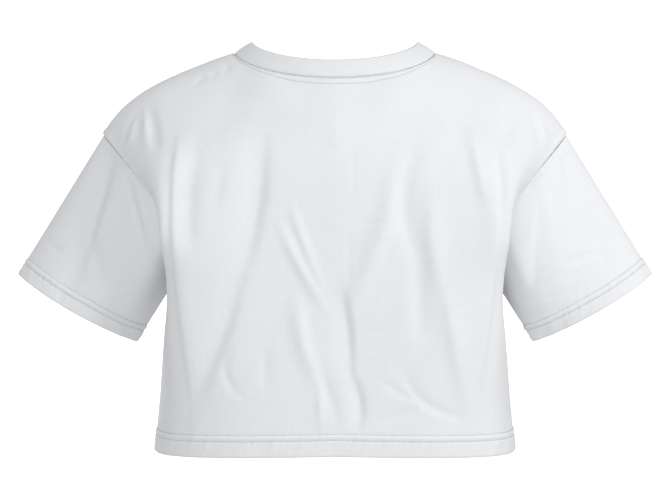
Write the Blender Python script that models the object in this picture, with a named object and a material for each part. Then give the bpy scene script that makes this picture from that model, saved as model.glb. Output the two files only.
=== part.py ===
"""A cropped T-shirt with dropped shoulders, filled out as if worn, with nobody inside.

Five pieces are cut and sewn: the back, the front, two sleeves and the neck rib. Each is a sheet laid
through the sections in the tables below, pressed into its folds, and then given its wall. The wearer faces
-Y, so the wearer's left is +X. The origin is midway between the two points where the shoulder seams meet
the neck. Sizes are in millimetres, and a mesh gets them in metres.
"""

import math
from collections import namedtuple

import bmesh
import bpy
from mathutils import Vector

MM = 0.001

# The cloth. A hem is turned up once, so its edge is two layers.
JERSEY_WALL = 1.4
HEM_WALL = 2.4
RIB_WALL = 2.0
SEAM_GAP = 0.3

# The neck: half width, reach behind and before, height at the shoulder, and drop behind and before.
NeckRing = namedtuple("NeckRing", "half_width y_at_shoulder back_reach front_reach z_at_shoulder back_drop front_drop")
NECK_SEAM = NeckRing(108.5, 10, 62, 98, -2, 30, 90)
NECK_RIM = NeckRing(88.5, 8, 55, 84, 11, 24, 85)
NECK_DROP_POWER = 1.2

# The shoulder seam, from the neck to the top of the armhole: the four points of a Bezier curve.
SHOULDER_SEAM = tuple(map(Vector, ((108.5, 10, -2), (160, 15, -23), (224, 14, -41), (249, 8, -90))))

# A section of half the body runs from its middle, past a corner where the cloth folds round to the side, to
# its end on the side seam or the armhole. Its weight is how closely it hugs the corner.
Section = namedtuple("Section", "mid_y mid_z corner_x corner_y corner_z end_x end_y end_z weight")
BACK_SECTIONS = (
    Section(105, -427, 190, 108, -431, 194, 0, -427, 1.4),
    Section(107, -378, 184, 110, -378, 189, 0, -376, 1.7),
    Section(109, -306, 182, 112, -306, 182, 0, -304, 2.4),
    Section(111, -246, 186, 112, -246, 166, 0, -236, 3.2),
    Section(112, -206, 188, 110, -206, 172, 66, -200, 3.6),
    Section(112, -170, 189, 107, -170, 183, 75, -169, 3.4),
    Section(110, -134, 191, 103, -134, 207, 59, -138, 2.6),
    Section(101, -90, 196, 86, -92, 231, 35, -111, 1.7),
)
FRONT_SECTIONS = (
    Section(-106, -426, 190, -108, -430, 194, 0, -427, 1.4),
    Section(-109, -376, 184, -110, -376, 189, 0, -376, 1.7),
    Section(-112, -306, 182, -112, -306, 182, 0, -304, 2.4),
    Section(-114, -250, 184, -112, -248, 166, 0, -236, 3.0),
    Section(-114, -216, 184, -108, -210, 172, -62, -202, 3.0),
    Section(-112, -184, 186, -103, -176, 183, -71, -172, 2.8),
    Section(-107, -153, 190, -95, -140, 207, -56, -140, 2.4),
    Section(-99, -122, 196, -76, -100, 231, -33, -112, 1.7),
)
UNDERARM = 3  # the section whose end is the point under the arm

# The cuff of the left sleeve: the ends of its two fold lines, over and under the arm, and its depth.
CUFF_TOP = Vector((342, 0, -239))
CUFF_UNDER = Vector((214, 0, -312))
CUFF_DEPTH = 39.0
CUFF_EDGE_POWER = 1.2
CUFF_BELLY = 4.0  # how far the middle of the cuff hangs past its two folds

# The largest folds, each from one point to another by a third between them. On a panel a point is x and z.
# On a sleeve it is turns round the arm, from its top by the back, and millimetres down from the armhole.
# The height is out of the cloth, and the two widths are its slopes towards -X and +X, or up and round.
Fold = namedtuple("Fold", "start by end height width_before width_after")
BACK_FOLDS = (
    Fold((76, -95), (74, -190), (128, -372), -5, 11, 20),
    Fold((-78, -120), (-42, -205), (-8, -285), 5, 13, 11),
    Fold((38, -186), (28, -232), (8, -278), 4, 9, 14),
    Fold((-88, -100), (-78, -190), (-92, -310), -4, 14, 14),
    Fold((-104, -140), (-106, -265), (-140, -400), 5, 18, 12),
    Fold((-2, -255), (-12, -330), (-22, -395), -5, 10, 20),
    Fold((138, -95), (147, -150), (146, -215), -4, 14, 16),
    Fold((-142, -95), (-152, -140), (-158, -175), 4, 10, 12),
)
FRONT_FOLDS = (
    Fold((-74, -150), (-66, -250), (-100, -380), -4, 18, 14),
    Fold((80, -150), (60, -240), (30, -330), 4, 14, 14),
    Fold((104, -180), (112, -290), (134, -390), -4, 16, 16),
    Fold((0, -270), (12, -340), (8, -400), -4, 16, 14),
)
LEFT_SLEEVE_FOLDS = (
    Fold((0.07, 0), (0.11, 70), (0.15, 140), -5, 12, 12),
    Fold((0.22, 20), (0.21, 75), (0.22, 140), 4, 14, 14),
    Fold((0.80, 10), (0.77, 70), (0.80, 140), -4, 14, 14),
)
RIGHT_SLEEVE_FOLDS = (
    Fold((0.16, 5), (0.21, 70), (0.28, 140), -5, 12, 14),
    Fold((0.10, 10), (0.12, 70), (0.13, 140), 3, 14, 16),
    Fold((0.80, 10), (0.76, 70), (0.79, 140), -4, 14, 14),
)

# How finely each piece is faceted.
NECK_COLUMNS = 8
SHOULDER_COLUMNS = 10
ROWS_BELOW_ARM = 10
ROWS_BESIDE_ARM = 14
SLEEVE_ROWS = 7
RIB_ROWS = 3
NECK_SHARE = 0.44  # how far along its top edge a half panel meets the shoulder seam
CORNER_SHARE = 0.68  # how far along its sections a half panel folds round to the side
SHOULDER_ROUNDING = 1.35
CURVE_STEPS = 60
FOLD_STEPS = 12


# Curves

def bezier(points, t):
    a, b, c, d = points
    return a * (1 - t) ** 3 + b * 3 * t * (1 - t) ** 2 + c * 3 * t * t * (1 - t) + d * t**3


def evenly(curve):
    """The curve, which takes 0 to 1, walked at an even pace instead."""
    points = [curve(i / CURVE_STEPS) for i in range(CURVE_STEPS + 1)]
    walked = [0.0]
    for a, b in zip(points, points[1:]):
        walked.append(walked[-1] + (b - a).length)

    def at(share):
        goal = min(max(share, 0.0), 1.0) * walked[-1]
        i = max(1, next((k for k, length in enumerate(walked) if length >= goal), CURVE_STEPS))
        return points[i - 1].lerp(points[i], (goal - walked[i - 1]) / (walked[i] - walked[i - 1]))

    return at


def section_curve(section):
    """Half a section of the body, from its middle at 0 to its end at 1."""
    middle = Vector((0, section.mid_y, section.mid_z))
    corner = Vector((section.corner_x, section.corner_y, section.corner_z))
    end = Vector((section.end_x, section.end_y, section.end_z))

    def conic(t):
        a, b, c = (1 - t) ** 2, 2 * t * (1 - t) * section.weight, t * t
        return (middle * a + corner * b + end * c) / (a + b + c)

    flat = evenly(lambda t: conic(t / 2))
    side = evenly(lambda t: conic(0.5 + t / 2))
    return lambda share: flat(share / CORNER_SHARE) if share < CORNER_SHARE else side(
        (share - CORNER_SHARE) / (1 - CORNER_SHARE)
    )


def neck_curve(ring, reach, drop):
    """Half of one side of a neck ring, from its middle at 0 to the shoulder at 1."""

    def ellipse(t):
        out = math.cos(t * math.pi / 2)
        x = ring.half_width * math.sin(t * math.pi / 2)
        z = ring.z_at_shoulder - drop * out**NECK_DROP_POWER
        return Vector((x, ring.y_at_shoulder + reach * out, z))

    return evenly(ellipse)


def spline(knots, points, v, bend, sharpness):
    """A curve through the points, reached at the knots: smooth, or up to sharp at the knot called bend."""
    i = max(k for k in range(len(knots) - 1) if knots[k] <= v or k == 0)

    def slope(k):
        low, high = max(k - 1, 0), min(k + 1, len(knots) - 1)
        smooth = (points[high] - points[low]) / (knots[high] - knots[low])
        straight = (points[i + 1] - points[i]) / (knots[i + 1] - knots[i])
        return smooth.lerp(straight, sharpness) if k == bend else smooth

    width = knots[i + 1] - knots[i]
    t = (v - knots[i]) / width
    return (
        points[i] * (1 + 2 * t) * (1 - t) ** 2
        + slope(i) * width * t * (1 - t) ** 2
        + points[i + 1] * t * t * (3 - 2 * t)
        - slope(i + 1) * width * t * t * (1 - t)
    )


def smooth_step(low, high, x):
    t = min(max((x - low) / (high - low), 0.0), 1.0)
    return t * t * (3 - 2 * t)


def mirrored(point, side):
    return Vector((math.copysign(point.x, side) if side else 0.0, point.y, point.z))


# Surfaces

class Panel:
    """The back or the front. A column runs from the hem, at 0, to the neck or the shoulder, at 1."""

    def __init__(self, sections, neck_reach, neck_drop):
        self.curves = [section_curve(s) for s in sections]
        self.neck = neck_curve(NECK_SEAM, neck_reach, neck_drop)
        self.shoulder = evenly(lambda t: bezier(SHOULDER_SEAM, t))
        self.facing = None  # the other panel, which the shoulder and side seams join to this one
        self.knots = []

    def top(self, share):
        if share <= NECK_SHARE:
            return self.neck(share / NECK_SHARE)
        return self.shoulder((share - NECK_SHARE) / (1 - NECK_SHARE))

    def points_up(self, share):
        return [curve(share) for curve in self.curves] + [self.top(share)]

    def at(self, across, up):
        """A point of the panel; across is from -1, the wearer's right side, to 1, the left side."""
        share = abs(across)
        points = self.points_up(share)
        straight_on = points[-1] * 2 - points[-2]
        over_shoulder = points[-1].lerp(self.facing.points_up(share)[-2], SHOULDER_ROUNDING)
        past = straight_on.lerp(over_shoulder, smooth_step(NECK_SHARE - 0.2, NECK_SHARE, share))
        step = (past - points[-1]).length / (points[-1] - points[-2]).length
        knots = [*self.knots, 1 + step * (self.knots[-1] - self.knots[-2])]
        point = spline(knots, [*points, past], up, UNDERARM, smooth_step(0.8, 1.0, share))
        return mirrored(point, across)


def make_panels():
    back = Panel(BACK_SECTIONS, NECK_SEAM.back_reach, NECK_SEAM.back_drop)
    front = Panel(FRONT_SECTIONS, -NECK_SEAM.front_reach, NECK_SEAM.front_drop)
    back.facing, front.facing = front, back
    guide = [a.lerp(b, 0.5) for a, b in zip(back.points_up(0.5), front.points_up(0.5))]
    rises = [b.z - a.z for a, b in zip(guide, guide[1:])]
    back.knots = front.knots = [sum(rises[:k]) / sum(rises) for k in range(len(guide))]
    return back, front


def cuff_point(around):
    """A point of the left cuff; around is from 0, over the arm, by the back to 0.5, under it, and on to 1."""
    angle = 2 * math.pi * around
    along = CUFF_TOP.lerp(CUFF_UNDER, (1 - math.cos(angle)) / 2)
    depth = math.copysign(CUFF_DEPTH * abs(math.sin(angle)) ** CUFF_EDGE_POWER, math.sin(angle))
    under = BACK_SECTIONS[UNDERARM]
    armhole = SHOULDER_SEAM[-1] + Vector((under.end_x, under.end_y, under.end_z))
    axis = (CUFF_TOP + CUFF_UNDER - armhole).normalized()
    return along + Vector((0, depth, 0)) + axis * CUFF_BELLY * math.sin(angle) ** 2


# Grids of points: a row of each runs round or across the body

def panel_grid(panel):
    underarm = panel.knots[UNDERARM]
    ups = [underarm * i / ROWS_BELOW_ARM for i in range(ROWS_BELOW_ARM)]
    ups += [underarm + (1 - underarm) * i / ROWS_BESIDE_ARM for i in range(ROWS_BESIDE_ARM + 1)]
    half = [NECK_SHARE * i / NECK_COLUMNS for i in range(NECK_COLUMNS)]
    half += [NECK_SHARE + (1 - NECK_SHARE) * i / SHOULDER_COLUMNS for i in range(SHOULDER_COLUMNS + 1)]
    acrosses = [-x for x in reversed(half[1:])] + half
    return [[panel.at(across, up) for across in acrosses] for up in ups]


def armhole_ring(back_grid, front_grid, side):
    """The armhole's points in order round the arm, from the shoulder down the back and up the front."""
    column = -1 if side > 0 else 0
    down = [row[column] for row in reversed(back_grid[ROWS_BELOW_ARM:])]
    up = [row[column] for row in front_grid[ROWS_BELOW_ARM:]]
    return down + up[1:]


def sleeve_grid(ring, side):
    """A sleeve's points, ring by ring, from the armhole to the cuff."""
    walk = evenly(lambda t: cuff_point(t / 2))
    half = len(ring) // 2
    back = [walk(i / half) for i in range(half + 1)]
    cuff = [mirrored(p, side) for p in back]
    cuff += [Vector((p.x, -p.y, p.z)) for p in reversed(cuff[:-1])]
    shares = [k / SLEEVE_ROWS for k in range(SLEEVE_ROWS + 1)]
    return [[a.lerp(b, share) for a, b in zip(ring, cuff)] for share in shares]


def rib_grid(back_grid, front_grid):
    """The neck rib's points, ring by ring, from the seam to the rim."""
    neck = slice(SHOULDER_COLUMNS, SHOULDER_COLUMNS + 2 * NECK_COLUMNS + 1)
    seam = back_grid[-1][neck] + front_grid[-1][neck][-2::-1]
    back = neck_curve(NECK_RIM, NECK_RIM.back_reach, NECK_RIM.back_drop)
    front = neck_curve(NECK_RIM, -NECK_RIM.front_reach, NECK_RIM.front_drop)
    shares = [i / NECK_COLUMNS for i in range(-NECK_COLUMNS, NECK_COLUMNS + 1)]
    rim = [mirrored(back(abs(s)), s) for s in shares]
    rim += [mirrored(front(abs(s)), s) for s in shares[-2::-1]]
    return [[a.lerp(b, k / RIB_ROWS) for a, b in zip(seam, rim)] for k in range(RIB_ROWS + 1)]


# Folds

def fold_path(fold):
    start, by, end = (Vector(p) for p in (fold.start, fold.by, fold.end))
    middle = by * 2 - (start + end) / 2
    shares = [i / FOLD_STEPS for i in range(FOLD_STEPS + 1)]
    return [start * (1 - t) ** 2 + middle * 2 * t * (1 - t) + end * t * t for t in shares]


def fold_height(place, fold, path):
    """How far a fold lifts the cloth at a place, which has the same two coordinates as the fold."""
    nearest = min(range(len(path)), key=lambda k: (place - path[k]).length_squared)
    low, high = path[max(nearest - 1, 0)], path[min(nearest + 1, FOLD_STEPS)]
    along = (high - low).normalized()
    offset = place - path[nearest]
    side = along.x * offset.y - along.y * offset.x
    beyond = max(0.0, offset.length - abs(side)) if nearest in (0, FOLD_STEPS) else 0.0
    width = fold.width_before if side > 0 else fold.width_after
    swell = math.sin(math.pi * (0.12 + 0.76 * nearest / FOLD_STEPS))
    return fold.height * swell * math.exp(-((side / width) ** 2) - (beyond / 20) ** 2)


def press_folds(grid, normals, places, folds, fade):
    """Moves a grid's points in and out along its normals; fade is 0 at a seam and 1 well inside it."""
    for fold in folds:
        path = fold_path(fold)
        for i, row in enumerate(grid):
            for j in range(len(row)):
                row[j] += normals[i][j] * fold_height(places[i][j], fold, path) * fade(i, j)


def panel_places(grid):
    return [[Vector((p.x, p.z)) for p in row] for row in grid]


def sleeve_places(grid):
    """Turns round the arm count as millimetres round the sleeve, to match the distance down it."""
    places = []
    for row, ring in enumerate(grid):
        girth = sum((b - a).length for a, b in zip(ring, ring[1:]))
        down = [(grid[row][j] - grid[0][j]).length for j in range(len(ring))]
        places.append([Vector((girth * j / (len(ring) - 1), down[j])) for j in range(len(ring))])
    return places


def sleeve_folds(table, grid):
    girth = sum((b - a).length for a, b in zip(grid[-1], grid[-1][1:]))
    wide = lambda point: (point[0] * girth, point[1])
    return [f._replace(start=wide(f.start), by=wide(f.by), end=wide(f.end)) for f in table]


# Walls

def normals_of(grid, tube, outward):
    """The direction out of the cloth at each point of a grid; a tube's last column is its first again."""
    found = [[Vector() for _ in row] for row in grid]
    for i in range(len(grid) - 1):
        for j in range(len(grid[0]) - 1):
            face = (grid[i + 1][j + 1] - grid[i][j]).cross(grid[i + 1][j] - grid[i][j + 1]) * outward
            for row, column in ((i, j), (i, j + 1), (i + 1, j), (i + 1, j + 1)):
                found[row][column] += face
    if tube:
        for row in found:
            row[0] = row[-1] = row[0] + row[-1]
    return [[n.normalized() for n in row] for row in found]


def share_normals(pieces):
    """Pieces that meet at a seam agree on the direction through the cloth there, so their walls mitre."""
    meeting = {}
    for piece in pieces:
        for points, normals in zip(piece.grid, piece.normals):
            for point, normal in zip(points, normals):
                meeting.setdefault(tuple(round(c, 2) for c in point), []).append(normal)
    for piece in pieces:
        for points, normals in zip(piece.grid, piece.normals):
            for j, point in enumerate(points):
                met = meeting[tuple(round(c, 2) for c in point)]
                mean = sum(met, Vector()).normalized()
                normals[j] = mean / max(0.6, sum(mean.dot(n) for n in met) / len(met))


def draw_back(grid, tube):
    """Moves a grid's edges in from the seams by half the gap between pieces."""
    rows = [list(row) for row in grid]
    for edge, inner in ((rows[0], grid[1]), (rows[-1], grid[-2])):
        for j, point in enumerate(inner):
            edge[j] = edge[j] + (point - edge[j]).normalized() * SEAM_GAP / 2
    if not tube:
        for row in rows:
            row[0] = row[0] + (row[1] - row[0]).normalized() * SEAM_GAP / 2
            row[-1] = row[-1] + (row[-2] - row[-1]).normalized() * SEAM_GAP / 2
    return rows


class Piece:
    """A piece of cloth: a grid of points on its outer face and the wall behind it."""

    def __init__(self, name, grid, outward, wall, tube=False):
        self.name, self.grid, self.tube, self.outward = name, grid, tube, outward
        self.normals = normals_of(grid, tube, outward)
        self.walls = [wall] * len(grid)

    def make(self, material, collection):
        inner = [
            [point - normal * wall for point, normal in zip(points, normals)]
            for points, normals, wall in zip(self.grid, self.normals, self.walls)
        ]
        outer, inner = draw_back(self.grid, self.tube), draw_back(inner, self.tube)
        places = [point for row in outer for point in row]
        places_inside = [point for row in inner for point in row]
        sheet = bmesh.new()
        bmesh.ops.create_grid(sheet, x_segments=len(outer[0]) - 1, y_segments=len(outer) - 1, size=1)
        number = sheet.verts.layers.int.new("number")
        for i, vert in enumerate(sheet.verts):
            vert[number] = i
            vert.co = places[i] * MM
        if self.tube:
            bmesh.ops.remove_doubles(sheet, verts=sheet.verts, dist=0.00001)
        wall = bmesh.ops.extrude_face_region(sheet, geom=sheet.faces[:], use_keep_orig=True)
        for vert in wall["geom"]:
            if isinstance(vert, bmesh.types.BMVert):
                vert.co = places_inside[vert[number]] * MM
        bmesh.ops.recalc_face_normals(sheet, faces=sheet.faces)
        bmesh.ops.triangulate(sheet, faces=sheet.faces)
        mesh = bpy.data.meshes.new(self.name)
        sheet.to_mesh(mesh)
        sheet.free()
        mesh.shade_smooth()
        mesh.materials.append(material)
        collection.objects.link(bpy.data.objects.new(self.name, mesh))


def make_material(name, color, roughness):
    material = bpy.data.materials.new(name)
    material.use_nodes = True
    shader = material.node_tree.nodes["Principled BSDF"]
    shader.inputs["Base Color"].default_value = (*color, 1)
    shader.inputs["Roughness"].default_value = roughness
    shader.inputs["Metallic"].default_value = 0
    return material


def panel_piece(name, grid, folds, outward):
    piece = Piece(name, grid, outward, JERSEY_WALL)
    piece.walls[0] = HEM_WALL

    def fade(i, j):
        from_side = min(j, len(grid[0]) - 1 - j) / 3
        from_top = (len(grid) - 1 - i) / 3
        return min(1.0, from_side, from_top) * (0.5 + 0.5 * min(1.0, i / 3))

    press_folds(piece.grid, piece.normals, panel_places(grid), folds, fade)
    piece.normals = normals_of(piece.grid, False, outward)
    return piece


def sleeve_piece(name, grid, folds, side):
    piece = Piece(name, grid, -side, JERSEY_WALL, tube=True)
    piece.walls[-1] = HEM_WALL
    fade = lambda i, j: min(1.0, i / 3) * min(1.0, j / 2, (len(grid[0]) - 1 - j) / 2)
    press_folds(piece.grid, piece.normals, sleeve_places(grid), sleeve_folds(folds, grid), fade)
    piece.normals = normals_of(piece.grid, True, -side)
    return piece


# The shirt

for old in list(bpy.data.objects):
    bpy.data.objects.remove(old, do_unlink=True)
crop_top = bpy.data.collections.new("crop_top")
bpy.context.scene.collection.children.link(crop_top)
jersey = make_material("white_cotton_jersey", (0.86, 0.87, 0.88), 0.9)
ribbing = make_material("white_cotton_rib", (0.84, 0.85, 0.86), 0.9)

back_panel, front_panel = make_panels()
back_points, front_points = panel_grid(back_panel), panel_grid(front_panel)
left_points = sleeve_grid(armhole_ring(back_points, front_points, 1), 1)
right_points = sleeve_grid(armhole_ring(back_points, front_points, -1), -1)
neck_points = rib_grid(back_points, front_points)

cloth = [
    panel_piece("back", back_points, BACK_FOLDS, -1),
    panel_piece("front", front_points, FRONT_FOLDS, 1),
    sleeve_piece("sleeve_left", left_points, LEFT_SLEEVE_FOLDS, 1),
    sleeve_piece("sleeve_right", right_points, RIGHT_SLEEVE_FOLDS, -1),
]
rib = Piece("neck_rib", neck_points, -1, RIB_WALL, tube=True)
share_normals([*cloth, rib])
for piece in cloth:
    piece.make(jersey, crop_top)
rib.make(ribbing, crop_top)
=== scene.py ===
import math

import bmesh
import bpy
import numpy as np
from mathutils import Matrix, Vector


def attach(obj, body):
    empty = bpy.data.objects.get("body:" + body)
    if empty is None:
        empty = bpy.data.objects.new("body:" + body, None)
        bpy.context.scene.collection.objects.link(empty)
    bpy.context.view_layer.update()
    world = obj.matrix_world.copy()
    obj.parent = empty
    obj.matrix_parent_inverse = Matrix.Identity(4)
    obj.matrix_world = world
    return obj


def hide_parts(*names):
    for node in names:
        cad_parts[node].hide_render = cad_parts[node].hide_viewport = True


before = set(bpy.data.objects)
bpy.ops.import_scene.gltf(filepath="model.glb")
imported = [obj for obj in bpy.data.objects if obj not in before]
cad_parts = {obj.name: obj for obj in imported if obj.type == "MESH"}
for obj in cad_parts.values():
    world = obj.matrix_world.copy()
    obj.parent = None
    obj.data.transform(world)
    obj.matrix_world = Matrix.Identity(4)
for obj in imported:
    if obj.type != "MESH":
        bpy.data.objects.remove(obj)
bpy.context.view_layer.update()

# Jersey. The four panels are white cotton single jersey, circular knitted, bleached and enzyme washed.
# That gives a matt, even white with a soft bloom at grazing angles, fine wales and a little surface hair.

JERSEY_HEX = "#EEEFF1"
WALE_MM = 1.6  # real wales are about 0.8 mm apart, drawn at twice that so that they show
COURSE_MM = 1.2  # at twice the real spacing too
JERSEY_LOOP_MM = 0.25  # how deep the loops look
JERSEY_SHEEN = 0.12


def linear(hex_color):
    """An sRGB hex colour as the linear values that shaders take."""
    channels = [int(hex_color[i : i + 2], 16) / 255 for i in (1, 3, 5)]
    return [c / 12.92 if c <= 0.04045 else ((c + 0.055) / 1.055) ** 2.4 for c in channels]


def add_node(tree, kind, settings=None, links=None):
    """A shader node with its settings, and its inputs set to values or linked to sockets."""
    node = tree.nodes.new(kind)
    for name, value in (settings or {}).items():
        setattr(node, name, value)
    for socket, value in (links or {}).items():
        if isinstance(value, bpy.types.NodeSocket):
            tree.links.new(value, node.inputs[socket])
        else:
            node.inputs[socket].default_value = value
    return node


def knit_material(name, hex_color, wale_mm, course_mm, loop_mm, sheen):
    """Cotton knit: wales and courses from the piece's own map, in millimetres, with hair and mottling."""
    material = bpy.data.materials.new(name)
    material.use_nodes = True
    tree = material.node_tree
    shader = tree.nodes["Principled BSDF"]
    where = add_node(tree, "ShaderNodeUVMap", {"uv_map": "cut"}).outputs["UV"]
    place = add_node(tree, "ShaderNodeTexCoord").outputs["Object"]
    wales = add_node(tree, "ShaderNodeMapping", links={"Vector": where, "Scale": (1 / wale_mm, 0, 0)})
    courses = add_node(tree, "ShaderNodeMapping", links={"Vector": where, "Scale": (0, 1 / course_mm, 0)})
    wale = add_node(
        tree, "ShaderNodeTexWave", {"wave_profile": "SIN"},
        {"Vector": wales.outputs[0], "Scale": math.pi / 10, "Distortion": 0.6, "Detail": 1.0},
    )
    course = add_node(
        tree, "ShaderNodeTexWave", {"wave_profile": "SIN", "bands_direction": "Y"},
        {"Vector": courses.outputs[0], "Scale": math.pi / 10, "Distortion": 1.0, "Detail": 1.0},
    )
    loops = add_node(
        tree, "ShaderNodeMath", {"operation": "MULTIPLY_ADD"},
        {0: course.outputs["Fac"], 1: 0.35, 2: wale.outputs["Fac"]},
    )
    hair = add_node(tree, "ShaderNodeTexNoise", links={"Vector": place, "Scale": 900.0, "Detail": 3.0})
    slub = add_node(tree, "ShaderNodeTexNoise", links={"Vector": place, "Scale": 140.0, "Detail": 4.0})
    knit = add_node(
        tree, "ShaderNodeBump",
        links={"Strength": 0.2, "Distance": loop_mm * 0.001, "Height": loops.outputs[0]},
    )
    fuzz = add_node(
        tree, "ShaderNodeBump",
        links={
            "Strength": 0.30, "Distance": 0.0003, "Height": hair.outputs["Fac"], "Normal": knit.outputs[0],
        },
    )
    lumps = add_node(
        tree, "ShaderNodeBump",
        links={
            "Strength": 0.25, "Distance": 0.0010, "Height": slub.outputs["Fac"], "Normal": fuzz.outputs[0],
        },
    )
    tone = add_node(
        tree, "ShaderNodeMapRange",
        links={
            "Value": slub.outputs["Fac"], "From Min": 0.3, "From Max": 0.7, "To Min": 0.0, "To Max": 1.0,
        },
    )
    base = linear(hex_color)
    color = add_node(
        tree, "ShaderNodeMix", {"data_type": "RGBA"},
        {0: tone.outputs[0], 6: (*[c * 0.985 for c in base], 1), 7: (*base, 1)},
    )
    tree.links.new(color.outputs[2], shader.inputs["Base Color"])
    tree.links.new(lumps.outputs[0], shader.inputs["Normal"])
    shader.inputs["Roughness"].default_value = 0.88
    shader.inputs["Specular IOR Level"].default_value = 0.25
    shader.inputs["Sheen Weight"].default_value = sheen
    shader.inputs["Sheen Roughness"].default_value = 0.5
    return material


jersey = knit_material(
    "cotton_single_jersey_washed", JERSEY_HEX, WALE_MM, COURSE_MM, JERSEY_LOOP_MM, JERSEY_SHEEN
)

# Back panel. One piece of jersey, cut straight at the sides and hem, with the armhole and the neck hollowed
# out. It hangs from the shoulder blades, with folds that gather in a V at the small of the back. Its edges
# are overlocked to the other pieces, and its hem is turned up 23 mm and cover stitched.

# The neck: half width, reach behind and before, height at the shoulder, and drop behind and before.
NECK_SEAM = {"half": 108.5, "y": 10, "back": 62, "front": -98, "z": -2, "drop_back": 30, "drop_front": 90}
NECK_RIM = {"half": 88.5, "y": 8, "back": 55, "front": -84, "z": 11, "drop_back": 24, "drop_front": 85}
SHOULDER_SEAM = ((108.5, 10, -2), (160, 15, -23), (224, 14, -41), (249, 8, -90))
# Half sections: middle y and z; corner x, y and z; end x, y and z; how closely the cloth hugs the corner.
BACK_SECTIONS = (
    (105, -427, 190, 108, -431, 194, 0, -427, 1.4),
    (107, -378, 184, 110, -378, 189, 0, -376, 1.7),
    (109, -306, 182, 112, -306, 182, 0, -304, 3.0),
    (111, -246, 186, 112, -246, 166, 0, -236, 4.6),
    (112, -206, 188, 110, -206, 172, 66, -200, 5.6),
    (112, -170, 189, 107, -170, 183, 75, -169, 5.2),
    (110, -134, 191, 103, -134, 207, 59, -138, 3.4),
    (101, -90, 196, 86, -92, 231, 35, -111, 1.7),
)
FRONT_SECTIONS = (
    (-106, -426, 190, -108, -430, 194, 0, -427, 1.4),
    (-109, -376, 184, -110, -376, 189, 0, -376, 1.7),
    (-112, -306, 182, -112, -306, 182, 0, -304, 2.4),
    (-114, -250, 184, -112, -248, 166, 0, -236, 3.0),
    (-114, -216, 184, -108, -210, 172, -62, -202, 3.0),
    (-112, -184, 186, -103, -176, 183, -71, -172, 2.8),
    (-107, -153, 190, -95, -140, 207, -56, -140, 2.4),
    (-99, -122, 196, -76, -100, 231, -33, -112, 1.7),
)
UNDERARM = 3  # the section whose end is the point under the arm
NECK_SHARE = 0.44  # how much of half a panel's columns end at the neck
CORNER_SHARE = 0.68  # how much of them lie before the corner
SHOULDER_ROUNDING = 1.35
NECK_STEPS = 48  # columns from the middle of a panel to its neck point
PANEL_COLUMNS = ((0, NECK_SHARE, NECK_STEPS + 1), (NECK_SHARE, 0.975, 58), (0.975, 1, 8))
PANEL_ROWS = ((0, 0.075, 29), (0.075, 0.972, 146), (0.972, 1, 11))
JERSEY_WALL_MM = 0.9
STITCH_ROWS_MM = (17.0, 23.4)  # the twin-needle rows, from the edge of the hem
NECK_ROWS_MM = (1.9, 8.3)  # the rows below the neck seam
ALLOWANCE_MM = 7.0  # the seam allowance that shows through as a low step
FOLD_DEPTH = 0.72  # worn cloth is pulled nearly flat, so each fold keeps this share of its loose height
FOLD_STEPS = 48
FOLD_TAPER_MM = 22.0
CREASE_WAVES_MM = (7, 11, 16)  # the finest creases, in patches as far apart as the next
PATCH_WAVES_MM = (61, 97)

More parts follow.
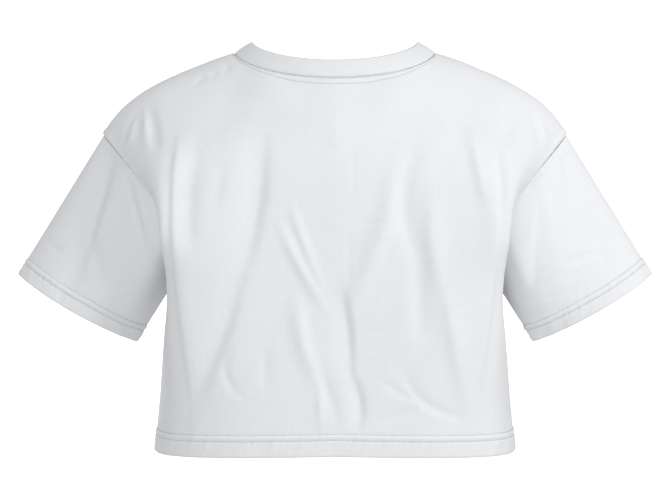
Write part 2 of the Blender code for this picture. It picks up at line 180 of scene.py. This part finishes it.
# Folds: start, point on the way and end, as x and z; height out of the cloth; and the widths of the slopes
# on the two sides, which for a fold that runs down are towards the wearer's left and right.
BACK_FOLDS = (
    ((139, -88), (152, -160), (147, -216), -4.5, 14, 9),
    ((114, -122), (120, -151), (127, -178), -1.6, 8, 5),
    ((77, -90), (81, -172), (104, -258), -6.5, 17, 8),
    ((99, -235), (118, -305), (156, -388), -6.5, 17, 8),
    ((59, -182), (37, -228), (8, -278), 3.6, 6, 5),
    ((45, -166), (32, -206), (9, -262), 2.8, 5, 5),
    ((-74, -105), (-46, -205), (-8, -288), 5.5, 12, 9),
    ((-88, -95), (-70, -160), (-87, -226), -5.0, 9, 10),
    ((-87, -210), (-87, -260), (-90, -310), -4.5, 9, 10),
    ((-103, -136), (-100, -205), (-115, -264), 4.5, 9, 12),
    ((-113, -250), (-125, -315), (-142, -402), 4.5, 9, 12),
    ((-140, -80), (-148, -128), (-156, -168), 4.0, 6, 6),
    ((-156, -92), (-168, -130), (-166, -180), -4.0, 6, 7),
    ((-189, -62), (-185, -80), (-181, -104), -2.8, 7, 7),
    ((-5, -248), (-14, -300), (-14, -350), -5.5, 12, 4.5),
    ((-13, -336), (-26, -372), (-21, -402), -4.5, 9, 4.5),
    ((17, -330), (7, -362), (-3, -392), -2.6, 6, 6),
    ((39, -258), (33, -308), (15, -356), 4.5, 9, 7),
    ((15, -350), (15, -375), (15, -402), 2.2, 4, 4),
    ((104, -312), (113, -342), (93, -368), -1.8, 5, 5),
    ((71, -312), (72, -336), (72, -360), -1.8, 6, 6),
    ((-70, -336), (-92, -371), (-137, -388), -2.4, 4, 6),
    ((-38, -395), (-64, -384), (-86, -376), -1.8, 4, 5),
    ((-48, -348), (-64, -359), (-80, -368), -1.5, 4, 4),
    ((24, -107), (3, -108), (-18, -107), -0.7, 3, 3),
    ((-9, -185), (-41, -186), (-74, -185), -0.7, 3, 3),
    ((-30, -70), (-70, -71), (-112, -70), -0.6, 3, 3),
    ((-24, -299), (-46, -300), (-68, -299), -0.6, 3, 3),
    ((-18, -106), (-19, -131), (-18, -157), -0.7, 3, 3),
    ((-13, -185), (-14, -226), (-13, -268), -0.6, 3, 3),
    ((112, -15), (115, -21), (118, -28), -1.4, 3, 3),
    ((124, -23), (128, -27), (133, -31), -1.4, 3, 3),
    ((137, -28), (143, -33), (150, -39), -1.4, 3, 3),
    ((198, -58), (190, -84), (186, -112), -3.4, 6, 5),
    ((200, -70), (199, -88), (197, -106), 2.2, 4, 3),
    ((206, -62), (208, -84), (207, -108), -2.2, 4, 4),
    ((210, -72), (215, -89), (219, -104), 2.2, 4, 3),
    ((208, -62), (218, -82), (223, -102), -2.2, 4, 3),
    ((-208, -66), (-213, -84), (-216, -104), -2.4, 4, 4),
    ((-217, -76), (-222, -88), (-226, -100), 1.8, 3, 3),
)
FRONT_FOLDS = (
    ((-74, -140), (-66, -250), (-102, -390), -5.0, 10, 16),
    ((84, -140), (62, -240), (28, -345), 4.5, 12, 9),
    ((104, -170), (112, -290), (136, -396), -4.5, 14, 9),
    ((2, -262), (12, -340), (8, -404), -4.5, 12, 7),
    ((-30, -220), (-22, -262), (0, -312), 3.0, 6, 6),
    ((50, -190), (40, -225), (20, -270), 2.6, 5, 6),
    ((-140, -110), (-150, -160), (-148, -214), -4.0, 8, 10),
    ((142, -104), (150, -140), (156, -178), 3.6, 6, 6),
    ((-120, -300), (-132, -345), (-146, -398), 3.4, 8, 8),
    ((60, -340), (76, -372), (104, -390), -2.0, 5, 5),
    ((-40, -350), (-56, -366), (-78, -376), -1.6, 4, 4),
    ((-200, -66), (-196, -90), (-192, -114), -2.8, 5, 5),
    ((204, -64), (210, -86), (214, -108), -2.6, 4, 5),
)


def graded(stretches):
    """Shares from 0 to 1 in stretches, each with its two ends and how many shares it has."""
    runs = [np.linspace(*stretch) for stretch in stretches]
    return np.concatenate([run[:-1] for run in runs[:-1]] + [runs[-1]])


def evenly(points, shares):
    """Points at even shares of the length of a line."""
    walked = np.concatenate([[0], np.cumsum(np.linalg.norm(np.diff(points, axis=0), axis=1))])
    return np.stack([np.interp(shares * walked[-1], walked, points[:, k]) for k in range(3)], axis=1)


def half_section(section, shares):
    """Half a section of the body, from its middle to its end."""
    mid_y, mid_z, *rest, weight = section
    corner, end = np.array(rest[:3], float), np.array(rest[3:], float)
    t = np.linspace(0, 1, 401)[:, None]
    a, b, c = (1 - t) ** 2, 2 * t * (1 - t) * weight, t * t
    line = (np.array([0, mid_y, mid_z], float) * a + corner * b + end * c) / (a + b + c)
    flat = evenly(line[:201], np.clip(shares / CORNER_SHARE, 0, 1))
    side = evenly(line[200:], np.clip((shares - CORNER_SHARE) / (1 - CORNER_SHARE), 0, 1))
    return np.where(shares[:, None] < CORNER_SHARE, flat, side)


def neck_line(ring, side, shares):
    """Half of one side of a neck ring, from its middle to the shoulder."""
    t = np.linspace(0, np.pi / 2, 201)
    z = ring["z"] - ring["drop_" + side] * np.cos(t) ** 1.2
    line = np.stack([ring["half"] * np.sin(t), ring["y"] + ring[side] * np.cos(t), z], axis=1)
    return evenly(line, shares)


def shoulder_line(shares):
    """The shoulder seam, from the neck to the top of the armhole."""
    a, b, c, d = np.array(SHOULDER_SEAM, float)
    t = np.linspace(0, 1, 201)[:, None]
    line = a * (1 - t) ** 3 + b * 3 * t * (1 - t) ** 2 + c * 3 * t * t * (1 - t) + d * t**3
    return evenly(line, shares)


def smooth_step(low, high, x):
    """0 below low and 1 above high, with a soft start and end between them."""
    t = np.clip((x - low) / (high - low), 0, 1)
    return t * t * (3 - 2 * t)


def bell(away, width):
    """1 on a line, falling off over a width on each side of it."""
    return np.exp(-((away / width) ** 2))


def panel_surface(sections, facing, side, shares, ups):
    """A panel's points, row by row from the hem and across from right to left, and its underarm's height."""
    neck = neck_line(NECK_SEAM, side, np.clip(shares / NECK_SHARE, 0, 1))
    shoulder = shoulder_line(np.clip((shares - NECK_SHARE) / (1 - NECK_SHARE), 0, 1))
    top = np.where(shares[:, None] <= NECK_SHARE, neck, shoulder)
    points = np.array([half_section(s, shares) for s in sections] + [top])
    half = np.array([0.5])
    middles = [half_section(a, half) + half_section(b, half) for a, b in zip(BACK_SECTIONS, FRONT_SECTIONS)]
    middles.append(shoulder_line((half - NECK_SHARE) / (1 - NECK_SHARE)) * 2)
    heights = np.array([place[0, 2] for place in middles])
    knots = (heights - heights[0]) / (heights[-1] - heights[0])
    over = top + (half_section(facing[-1], shares) - top) * SHOULDER_ROUNDING
    turn = smooth_step(NECK_SHARE - 0.36, NECK_SHARE + 0.12, shares)[:, None]
    past = (top * 2 - points[-2]) * (1 - turn) + over * turn
    step = np.linalg.norm(past - top, axis=1) / np.linalg.norm(top - points[-2], axis=1)
    slopes = np.empty_like(points)
    slopes[0] = (points[1] - points[0]) / (knots[1] - knots[0])
    slopes[1:-1] = (points[2:] - points[:-2]) / (knots[2:] - knots[:-2])[:, None, None]
    slopes[-1] = (past - points[-2]) / ((knots[-1] - knots[-2]) * (1 + step))[:, None]
    sharp = smooth_step(0.8, 1.0, shares)[:, None]
    rows = []
    for up in ups:
        i = min(int(np.searchsorted(knots, up, side="right")) - 1, len(knots) - 2)
        width = knots[i + 1] - knots[i]
        t = (up - knots[i]) / width
        straight = (points[i + 1] - points[i]) / width
        low = slopes[i] * (1 - sharp) + straight * sharp if i == UNDERARM else slopes[i]
        high = slopes[i + 1] * (1 - sharp) + straight * sharp if i + 1 == UNDERARM else slopes[i + 1]
        rows.append(
            points[i] * (1 + 2 * t) * (1 - t) ** 2 + low * width * t * (1 - t) ** 2
            + points[i + 1] * t * t * (3 - 2 * t) - high * width * t * t * (1 - t)
        )
    right = np.array(rows)
    left = right[:, :0:-1] * np.array([-1, 1, 1])
    return np.concatenate([left, right], axis=1), knots[UNDERARM]


def surface_normals(points, outward, tube=False):
    """Unit normals of a grid of points."""
    if tube:
        wrapped = np.concatenate([points[:, -2:-1], points, points[:, 1:2]], axis=1)
        across = np.gradient(wrapped, axis=1)[:, 1:-1]
    else:
        across = np.gradient(points, axis=1)
    normals = np.cross(across, np.gradient(points, axis=0)) * outward
    return normals / np.maximum(np.linalg.norm(normals, axis=2, keepdims=True), 1e-9)


def fold_relief(points, folds):
    """How far the folds lift each point of a grid, from their x and z."""
    place = points[..., [0, 2]]
    lift = np.zeros(points.shape[:2])
    t = np.linspace(0, 1, FOLD_STEPS + 1)[:, None]
    for *ends, height, left_width, right_width in folds:
        start, by, end = (np.array(p, float) for p in ends)
        path = start * (1 - t) ** 2 + (by * 2 - (start + end) / 2) * 2 * t * (1 - t) + end * t * t
        reach = 3.2 * max(left_width, right_width) + FOLD_TAPER_MM
        near = ((place > path.min(0) - reach) & (place < path.max(0) + reach)).all(axis=2)
        if not near.any():
            continue
        spot = place[near]
        away = spot[:, None] - path[None]
        nearest = (away**2).sum(2).argmin(1)
        along = np.gradient(path, axis=0)
        along /= np.linalg.norm(along, axis=1, keepdims=True)
        offset = away[np.arange(len(spot)), nearest]
        way = along[nearest]
        side = way[:, 0] * offset[:, 1] - way[:, 1] * offset[:, 0]
        beyond = np.abs((offset * way).sum(1)) * ((nearest == 0) | (nearest == FOLD_STEPS))
        width = np.where(side * -np.sign(way[:, 1]) > 0, left_width, right_width)
        swell = np.sin(np.pi * (0.03 + 0.94 * nearest / FOLD_STEPS)) ** 1.05
        lift[near] += height * swell * np.exp(-((side / width) ** 2) - (beyond / (FOLD_TAPER_MM * 0.4)) ** 2)
    return lift


def ripples(along, waves, seed):
    """An uneven ripple, mostly from -1 to 1, of a few wavelengths in millimetres."""
    draw = np.random.default_rng(seed)
    total = np.zeros_like(along)
    for wave in waves:
        drift = 0.6 * np.sin(along * 2 * np.pi / (wave * draw.uniform(3.1, 4.7)) + draw.uniform(0, 6.3))
        total += np.sin(along * 2 * np.pi / wave + draw.uniform(0, 6.3) + 2 * drift)
    return total / len(waves)


def walked(points, axis):
    """How far each point is along its row or column, in millimetres."""
    steps = np.linalg.norm(np.diff(points, axis=axis), axis=2)
    start = np.zeros_like(np.take(steps, [0], axis=axis))
    return np.concatenate([start, np.cumsum(steps, axis=axis)], axis=axis)


def sheet_piece(name, points, material, wall_mm, outward, tube=False):
    """A piece of cloth: a grid laid on its points, mapped by its cut, with its wall on the inside."""
    rows, columns = points.shape[:2]
    cloth = bmesh.new()
    bmesh.ops.create_grid(cloth, x_segments=columns - 1, y_segments=rows - 1, size=1)
    flat = points.reshape(-1, 3) * 0.001
    for vert, place in zip(cloth.verts, flat.tolist()):
        vert.co = place
    cut = cloth.loops.layers.uv.new("cut")
    across = walked(points, 1)
    across = (across - across[:, [columns // 2]]).reshape(-1).tolist()
    up = walked(points, 0).reshape(-1).tolist()
    cloth.verts.index_update()
    for face in cloth.faces:
        for loop in face.loops:
            loop[cut].uv = (across[loop.vert.index], up[loop.vert.index])
    if tube:
        bmesh.ops.remove_doubles(cloth, verts=cloth.verts, dist=0.00002)
    if outward < 0:
        bmesh.ops.reverse_faces(cloth, faces=cloth.faces)
    mesh = bpy.data.meshes.new(name)
    cloth.to_mesh(mesh)
    cloth.free()
    mesh.shade_smooth()
    mesh.materials.append(material)
    piece = bpy.data.objects.new(name, mesh)
    bpy.context.scene.collection.objects.link(piece)
    wall = piece.modifiers.new("wall", "SOLIDIFY")
    wall.thickness = wall_mm * 0.001
    wall.offset = -1
    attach(piece, "root")
    return piece


def hem_relief(height, along, seed):
    """A hem turned up and cover stitched: a second layer below the rows, which pull in and pucker it."""
    low, high = STITCH_ROWS_MM
    doubled = 0.9 * (1 - smooth_step(high - 0.4, high + 0.9, height))
    between = 0.35 * bell(height - (low + high) / 2, 2.2)
    pulled = sum(-0.95 * bell(height - row, 0.95) for row in STITCH_ROWS_MM)
    fine = ripples(along + 0.35 * height, (4.3, 6.1, 9.7), seed) * bell(height - 17, 9) * 0.55
    broad = ripples(along + 0.5 * height, (17, 29, 43), seed + 1) * bell(height, 26) * 0.6
    rolled = -0.5 * bell(height, 1.3)
    return doubled + between + pulled + fine + broad + rolled


def eased(base, share, from_top):
    """Smooths the cloth below the neck point, where the neck's curve meets the shoulder's."""
    ease = smooth_step(0.18, 0.3, share) * (1 - smooth_step(0.6, 0.75, share))
    ease = (ease * smooth_step(3, 26, from_top))[:, 1:-1, None]
    for _ in range(220):
        base[:, 1:-1] += 0.45 * ease * ((base[:, :-2] + base[:, 2:]) / 2 - base[:, 1:-1])
    return base


def body_relief(base, folds, share, height, seed):
    """The folds, the creases between them, the turn to the side and a slow unevenness."""
    x, z = base[..., 0], base[..., 2]
    folded = FOLD_DEPTH * fold_relief(base, folds)
    patches = smooth_step(0.0, 0.8, ripples(x + 0.6 * z, PATCH_WAVES_MM, seed + 8))
    creased = 0.16 * ripples(x * 0.5 + z * 0.9, CREASE_WAVES_MM, seed + 9) * patches
    turned = 2.6 * bell(share - 0.665, np.where(share < 0.665, 0.06, 0.014))
    turned = turned * smooth_step(80, 130, -z) * (1 - 0.7 * smooth_step(290, 380, -z))
    uneven = 0.5 * ripples(x * 0.9 + z * 0.35, (57, 83), seed + 7) * smooth_step(20, 60, height)
    return folded + creased + turned + uneven


def side_relief(from_side, up, beside_arm, seed):
    """The side seam and the armhole: a valley, the allowance folded to one side of it, and its pucker."""
    valley = -0.8 * bell(from_side, 1.5)
    step = 1 - smooth_step(ALLOWANCE_MM - 1.2, ALLOWANCE_MM + 0.6, from_side)
    allowance = np.where(beside_arm, 0.9, 0.3) * smooth_step(0, 2, from_side) * step
    pucker = 0.5 * ripples(up, (9, 14), seed + 3) * bell(from_side, 6)
    return valley + allowance + pucker * beside_arm * smooth_step(0, 3, from_side)


def top_relief(from_top, across, at_neck, seed):
    """The neck seam with its topstitched allowance, and the shoulder seam with its own."""
    gathered = ripples(across[-1:] + 0 * from_top, (3.1, 4.4, 6.7), seed + 5) * bell(from_top - 5, 4) * 0.35
    neck = gathered + 0.9 * bell(from_top - 4.6, 3.2) - 0.9 * bell(from_top - NECK_ROWS_MM[1], 0.9)
    shoulder = 0.6 * (1 - smooth_step(5.0, 6.2, from_top)) * smooth_step(0, 2, from_top)
    return np.where(at_neck, neck, shoulder) - 1.2 * bell(from_top, 1.4)


def panel_points(sections, facing, side, folds, outward, seed):
    """A panel's finished points, its base surface, and which row is at the underarm."""
    shares, ups = graded(PANEL_COLUMNS), graded(PANEL_ROWS)
    underarm = panel_surface(sections, facing, side, shares, ups)[1]
    underarm_row = int(np.argmin(np.abs(ups - underarm)))
    ups[underarm_row] = underarm
    base = panel_surface(sections, facing, side, shares, ups)[0]
    share = np.abs(np.concatenate([-shares[:0:-1], shares]))[None]
    up = walked(base, 0)
    base = eased(base, share, up[-1:] - up)
    across, up = walked(base, 1), walked(base, 0)
    from_side = np.minimum(across, across[:, -1:] - across)
    from_top = up[-1:] - up
    lift = body_relief(base, folds, share, up, seed)
    lift *= smooth_step(0, 9, from_side) * smooth_step(0, 8, from_top)
    lift *= 0.35 + 0.65 * smooth_step(5, 32, up)
    lift += hem_relief(up, across, seed)
    lift += side_relief(from_side, up, ups[:, None] >= underarm, seed)
    lift += top_relief(from_top, across, np.abs(base[-1:, :, 0]) < NECK_SEAM["half"], seed)
    return base + surface_normals(base, outward) * lift[..., None], base, underarm_row


back_points, back_base, underarm_row = panel_points(BACK_SECTIONS, FRONT_SECTIONS, "back", BACK_FOLDS, -1, 11)
back = sheet_piece("back_jersey", back_points, jersey, JERSEY_WALL_MM, -1)
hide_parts("back")

# Front panel. The same cut as the back with a deeper neck. It hangs straight from the chest and is finished
# as plainly, with softer folds of the same kind.

front_points, front_base, _ = panel_points(FRONT_SECTIONS, BACK_SECTIONS, "front", FRONT_FOLDS, 1, 23)
front = sheet_piece("front_jersey", front_points, jersey, JERSEY_WALL_MM, 1)
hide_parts("front")

# Sleeves. Each is one short piece of jersey sewn flat into a dropped armhole and closed under the arm, so it
# keeps a pressed fold over the arm. Its hem is turned up 20 mm and cover stitched like the bottom hem.

CUFF_TOP, CUFF_UNDER = np.array([342.0, 0, -239]), np.array([214.0, 0, -312])
CUFF_DEPTH, CUFF_EDGE_POWER, CUFF_BELLY = 39.0, 1.2, 4.0
CUFF_ROWS_MM = (14.0, 20.4)
SLEEVE_ROWS = ((0, 0.05, 8), (0.05, 0.84, 62), (0.84, 1, 27))
LEFT_SLEEVE_FOLDS = (
    ((242, -100), (252, -165), (290, -270), -6.0, 12, 12),
    ((231, -122), (245, -174), (268, -252), 4.5, 7, 11),
    ((225, -122), (209, -171), (199, -208), -3.4, 5, 5),
    ((218, -138), (202, -180), (190, -230), 2.6, 5, 5),
    ((313, -201), (300, -211), (287, -220), -1.3, 3, 3),
    ((262, -190), (252, -225), (240, -262), -2.0, 7, 7),
)
RIGHT_SLEEVE_FOLDS = (
    ((-216, -130), (-214, -190), (-204, -284), -6.0, 9, 8),
    ((-228, -150), (-232, -200), (-236, -262), 3.0, 9, 11),
    ((-234, -100), (-238, -120), (-242, -140), 1.8, 3, 3),
    ((-237, -98), (-242, -107), (-247, -115), 1.2, 3, 3),
    ((-241, -228), (-263, -221), (-286, -211), -1.3, 4, 4),
    ((-262, -150), (-276, -190), (-292, -236), -1.8, 9, 9),
)


def to_other_side(folds):
    """The same folds on the other side of the body."""
    return tuple((*((-x, z) for x, z in fold[:3]), *fold[3:]) for fold in folds)


def cuff_ring(side, around):
    """The edge of a cuff, at turns of half a ring from over the arm."""
    t = np.linspace(0, np.pi, 401)
    over = (1 - np.cos(t))[:, None] / 2
    axis = CUFF_TOP + CUFF_UNDER - np.array(SHOULDER_SEAM[-1]) - np.array(BACK_SECTIONS[UNDERARM][5:8])
    axis /= np.linalg.norm(axis)
    cuff_half = CUFF_TOP * (1 - over) + CUFF_UNDER * over + axis * CUFF_BELLY * np.sin(t)[:, None] ** 2
    cuff_half[:, 1] += CUFF_DEPTH * np.sin(t) ** CUFF_EDGE_POWER
    cuff = evenly(cuff_half, np.where(around <= 1, around, 2 - around))
    cuff *= np.where(around <= 1, 1, -1)[:, None] * np.array([0, 1, 0]) + np.array([1, 0, 1])
    cuff[:, 0] *= side
    return cuff


def sleeve_points(side, back_folds, front_folds, seed):
    """A sleeve's points, ring by ring from the armhole; a ring runs from over the arm down its back."""
    column = -1 if side > 0 else 0
    down, up = back_base[underarm_row:, column][::-1], front_base[underarm_row:, column]
    armhole = np.concatenate([down, up[1:]])
    around = np.concatenate([np.linspace(0, 1, len(down)), np.linspace(1, 2, len(up))[1:]])
    down_sleeve = graded(SLEEVE_ROWS)[:, None, None]
    base = armhole[None] * (1 - down_sleeve) + cuff_ring(side, around)[None] * down_sleeve
    x, y, z = base[..., 0], base[..., 1], base[..., 2]
    down_mm, around_mm = walked(base, 0), walked(base, 1)
    from_cuff = down_mm[-1:] - down_mm
    lift = fold_relief(base, back_folds) * smooth_step(0, 14, y)
    lift += fold_relief(base, front_folds) * smooth_step(0, 14, -y)
    patches = smooth_step(0.1, 0.9, ripples(x + 0.8 * z, PATCH_WAVES_MM, seed + 8))
    lift += 0.35 * ripples(z + 0.3 * x, CREASE_WAVES_MM, seed + 9) * patches
    lift *= smooth_step(0, 9, down_mm) * (0.4 + 0.6 * smooth_step(4, 26, from_cuff))
    lift += hem_relief(from_cuff + STITCH_ROWS_MM[0] - CUFF_ROWS_MM[0], around_mm, seed)
    lift -= 0.5 * bell(from_cuff, 1.3) + 0.8 * bell(down_mm, 1.4)
    lift += 0.4 * ripples(around_mm, (8, 13), seed + 3) * bell(down_mm, 7) * smooth_step(0, 3, down_mm)
    points = base + surface_normals(base, -side, tube=True) * lift[..., None]
    points[:, -1] = points[:, 0]
    return points, base


left_points, left_base = sleeve_points(1, LEFT_SLEEVE_FOLDS, to_other_side(RIGHT_SLEEVE_FOLDS), 31)
right_points, right_base = sleeve_points(-1, RIGHT_SLEEVE_FOLDS, to_other_side(LEFT_SLEEVE_FOLDS), 37)
for name, points, side in (("left", left_points, 1), ("right", right_points, -1)):
    sleeve = sheet_piece(f"sleeve_{name}_jersey", points, jersey, JERSEY_WALL_MM, -side, tube=True)
    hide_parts(f"sleeve_{name}")

# Neck rib. A band of one-by-one cotton rib, folded lengthwise, its raw edges overlocked to the neck, cut
# shorter than the neck so that it stands and hugs it. The wales run up the band.

RIB_HEX = "#EDEEF0"
RIB_WALE_MM, RIB_COURSE_MM, RIB_LOOP_MM = 2.0, 1.2, 0.55
RIB_WALL_MM = 1.8
RIB_CROWN_MM = 1.1  # how far the folded band stands out in its middle
rib_knit = knit_material(
    "cotton_one_by_one_rib", RIB_HEX, RIB_WALE_MM, RIB_COURSE_MM, RIB_LOOP_MM, JERSEY_SHEEN
)

MIDDLE = len(back_base[0]) // 2  # a panel's middle column
rib_columns = slice(MIDDLE - NECK_STEPS, MIDDLE + NECK_STEPS + 1)
seam_ring = np.concatenate([back_base[-1, rib_columns], front_base[-1, rib_columns][-2::-1]])
reach = np.linspace(-1, 1, 2 * NECK_STEPS + 1)
mirror = np.stack([np.where(reach < 0, -1, 1), np.ones(len(reach)), np.ones(len(reach))], axis=1)
rim_back = neck_line(NECK_RIM, "back", np.abs(reach)) * mirror
rim_front = neck_line(NECK_RIM, "front", np.abs(reach)) * mirror
rim_ring = np.concatenate([rim_back, rim_front[-2::-1]])
rise = np.linspace(0, 1, 15)[:, None, None]
rib_base = seam_ring[None] * (1 - rise) + rim_ring[None] * rise
rib_normals = surface_normals(rib_base, -1, tube=True)
rib_up = walked(rib_base, 0)
crown = RIB_CROWN_MM * np.clip(np.sin(np.pi * rise[..., 0]), 0, 1) ** 0.6
rib_lift = crown - 1.2 * bell(rib_up, 1.5)
rib_points = rib_base + rib_normals * rib_lift[..., None]
rib_points[:, -1] = rib_points[:, 0]
rib = sheet_piece("neck_rib_band", rib_points, rib_knit, RIB_WALL_MM, -1, tube=True)
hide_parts("neck_rib")

# Stitching. White spun polyester thread, coloured grey as painted shade, sewn by a twin needle 6.4 mm apart
# at the hems, the cuffs and under the neck rib, and in two close rows along each shoulder seam. Each stitch
# is a short raised dash.

THREAD_PAINTED_SHADE_HEX = "#C4C6CB"  # painted shade: grey, not the thread's white, for the shadow in the pull each stitch sits in
THREAD_MM = 0.45
THREAD_TWIST_MM, THREAD_RIDGE_MM, THREAD_SHEEN = 0.6, 0.1, 0.2
STITCH_MM = 2.5
STITCH_GAP_MM = 0.9
STITCH_RISE_MM = 0.15
SHOULDER_ROWS_MM = (2.2, 4.8)  # the rows below the shoulder seam
# The thread's material is grey as painted shade, though the real thread is white.
thread = knit_material(
    "spun_polyester_thread_painted_shade", THREAD_PAINTED_SHADE_HEX, THREAD_TWIST_MM, THREAD_TWIST_MM, THREAD_RIDGE_MM, THREAD_SHEEN
)


def row_of(points, base, height, from_top=False):
    """A line across a grid, at a height along its columns in millimetres."""
    up = walked(base, 0)
    goal = up[-1] - height if from_top else np.full(up.shape[1], float(height))
    return np.array([
        [np.interp(goal[j], up[:, j], points[:, j, k]) for k in range(3)] for j in range(points.shape[1])
    ])


def stitch_line(seams, points, base, outward, height, from_top=False, columns=slice(None), tube=False):
    """Adds a row of stitches along a line of a grid."""
    normals = surface_normals(base, outward, tube)
    line = row_of(points, base, height, from_top)[columns]
    out = row_of(normals, base, height, from_top)[columns]
    length = np.concatenate([[0], np.cumsum(np.linalg.norm(np.diff(line, axis=0), axis=1))])
    count = int(length[-1] / (STITCH_MM + STITCH_GAP_MM))
    for i in range(count):
        start = (i + 0.15) * length[-1] / count
        ends = [
            np.array([np.interp(place, length, line[:, k]) for k in range(3)])
            for place in (start, start + STITCH_MM)
        ]
        normal = Vector([np.interp(start, length, out[:, k]) for k in range(3)]).normalized()
        way = Vector(ends[1] - ends[0]).normalized()
        cross = normal.cross(way).normalized()
        middle = Vector((ends[0] + ends[1]) / 2) + normal * STITCH_RISE_MM
        turn = Matrix((way, cross, normal)).transposed().to_4x4()
        scale = Matrix.Diagonal((STITCH_MM / 2, THREAD_MM * 1.15, THREAD_MM, 1))
        place = Matrix.Scale(0.001, 4) @ Matrix.Translation(middle) @ turn @ scale
        bmesh.ops.create_uvsphere(seams, u_segments=6, v_segments=4, radius=1, matrix=place)


def stitch_piece(name, seams):
    """Makes rows of stitches a piece of the top."""
    mesh = bpy.data.meshes.new(name)
    seams.loops.layers.uv.new("cut")
    seams.to_mesh(mesh)
    seams.free()
    mesh.shade_smooth()
    mesh.materials.append(thread)
    piece = bpy.data.objects.new(name, mesh)
    bpy.context.scene.collection.objects.link(piece)
    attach(piece, "root")


panels = (("back", back_points, back_base, -1), ("front", front_points, front_base, 1))
between_shoulders = slice(MIDDLE - NECK_STEPS + 1, MIDDLE + NECK_STEPS)
left_shoulder = slice(MIDDLE + NECK_STEPS + 2, 2 * MIDDLE - 2)
right_shoulder = slice(3, MIDDLE - NECK_STEPS - 1)
for name, points, base, outward in panels:
    seams = bmesh.new()
    for height in STITCH_ROWS_MM:
        stitch_line(seams, points, base, outward, height)
    stitch_piece(f"hem_stitches_{name}", seams)
    seams = bmesh.new()
    for height in NECK_ROWS_MM:
        stitch_line(seams, points, base, outward, height, True, between_shoulders)
    for height in SHOULDER_ROWS_MM:
        stitch_line(seams, points, base, outward, height, True, left_shoulder)
        stitch_line(seams, points, base, outward, height, True, right_shoulder)
    stitch_piece(f"neck_and_shoulder_stitches_{name}", seams)
sleeves = (("left", left_points, left_base, 1), ("right", right_points, right_base, -1))
for name, points, base, side in sleeves:
    seams = bmesh.new()
    for height in CUFF_ROWS_MM:
        stitch_line(seams, points, base, -side, height, True, tube=True)
    stitch_piece(f"cuff_stitches_{name}", seams)

# Studio. A white paper sweep far all round the top, evenly bright, four large softboxes, of which the one
# on the wearer's right is the key, and a camera behind the top, level with the middle of the back.

sweep_paper = bpy.data.materials.new("seamless_paper_white")
sweep_paper.use_nodes = True
glow = sweep_paper.node_tree.nodes["Principled BSDF"]
glow.inputs["Base Color"].default_value = (*linear("#FFFFFF"), 1)
glow.inputs["Roughness"].default_value = 1
glow.inputs["Emission Color"].default_value = (*linear("#FEFEFE"), 1)
glow.inputs["Emission Strength"].default_value = 1.0
paper = bmesh.new()
bmesh.ops.create_uvsphere(paper, u_segments=48, v_segments=24, radius=7)
for vert in paper.verts:
    vert.co.z = max(vert.co.z, -1.4)
bmesh.ops.reverse_faces(paper, faces=paper.faces)
paper_mesh = bpy.data.meshes.new("floor_sweep")
paper.to_mesh(paper_mesh)
paper.free()
paper_mesh.shade_smooth()
paper_mesh.materials.append(sweep_paper)
floor_sweep = bpy.data.objects.new("floor_sweep", paper_mesh)
bpy.context.scene.collection.objects.link(floor_sweep)
floor_sweep.visible_diffuse = False
floor_sweep.visible_glossy = False
floor_sweep.visible_shadow = False

world = bpy.data.worlds.new("studio_fill")
world.use_nodes = True
world.node_tree.nodes["Background"].inputs["Color"].default_value = (0.985, 0.99, 1.0, 1)
world.node_tree.nodes["Background"].inputs["Strength"].default_value = 0.43
bpy.context.scene.world = world


# Place and width in metres, and watts.
SOFTBOXES = (
    ("key_softbox", (-2.6, 1.7, 0.5), 1.1, 42),
    ("fill_softbox", (0.9, 2.6, -0.2), 1.6, 23),
    ("top_softbox", (-0.4, 0.6, 2.2), 1.4, 8),
    ("front_softbox", (1.2, -2.6, 0.4), 1.6, 36),
)
MIDDLE_OF_TOP = Vector((0, 0, -0.2))
for name, place, size, watts in SOFTBOXES:
    light = bpy.data.lights.new(name, "AREA")
    light.size = size
    light.energy = watts
    lamp = bpy.data.objects.new(name, light)
    bpy.context.scene.collection.objects.link(lamp)
    lamp.location = place
    lamp.rotation_euler = (MIDDLE_OF_TOP - Vector(place)).to_track_quat("-Z", "Y").to_euler()

CAMERA_AWAY, CAMERA_HEIGHT = 2.35, -0.215  # metres
VIEW_WIDTH = 0.7236  # metres across the picture, at the middle of the top
SENSOR_MM = 36
camera = bpy.data.objects.new("camera", bpy.data.cameras.new("camera"))
bpy.context.scene.collection.objects.link(camera)
camera.location = (0, CAMERA_AWAY, CAMERA_HEIGHT)
camera.rotation_euler = (math.pi / 2, 0, math.pi)
camera.data.sensor_width = SENSOR_MM
camera.data.lens = SENSOR_MM * CAMERA_AWAY / VIEW_WIDTH
bpy.context.scene.camera = camera
bpy.context.scene.view_settings.view_transform = "Standard"
